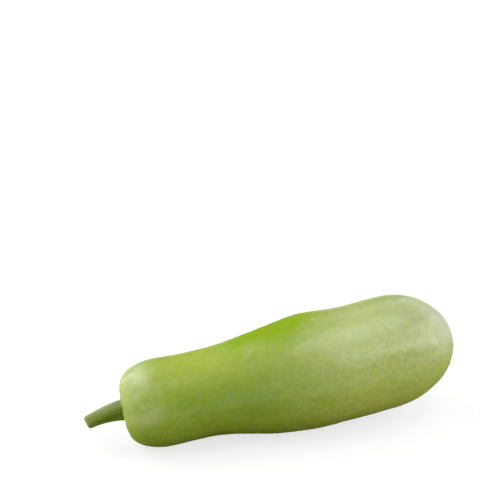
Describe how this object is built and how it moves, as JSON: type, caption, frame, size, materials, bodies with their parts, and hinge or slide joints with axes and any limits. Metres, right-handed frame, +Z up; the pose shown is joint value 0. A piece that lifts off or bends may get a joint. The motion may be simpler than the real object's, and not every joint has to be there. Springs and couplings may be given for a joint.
{
  "type": "bottle gourd",
  "caption": "Club-shaped bottle gourd lying on its side, with a narrower neck, a full belly, a creased stem end and a short drooping stem.",
  "frame": {"origin": "on the surface that the gourd rests on, under the middle of its bounding box", "axes": "+X from the stem end to the blossom end, +Z up"},
  "size_m": [0.3154, 0.0956, 0.099],
  "materials": {
    "skin": "waxy",
    "stem": "matte"
  },
  "bodies": {
    "root": {"fruit": "skin", "stem": "stem"}
  },
  "joints": []
}
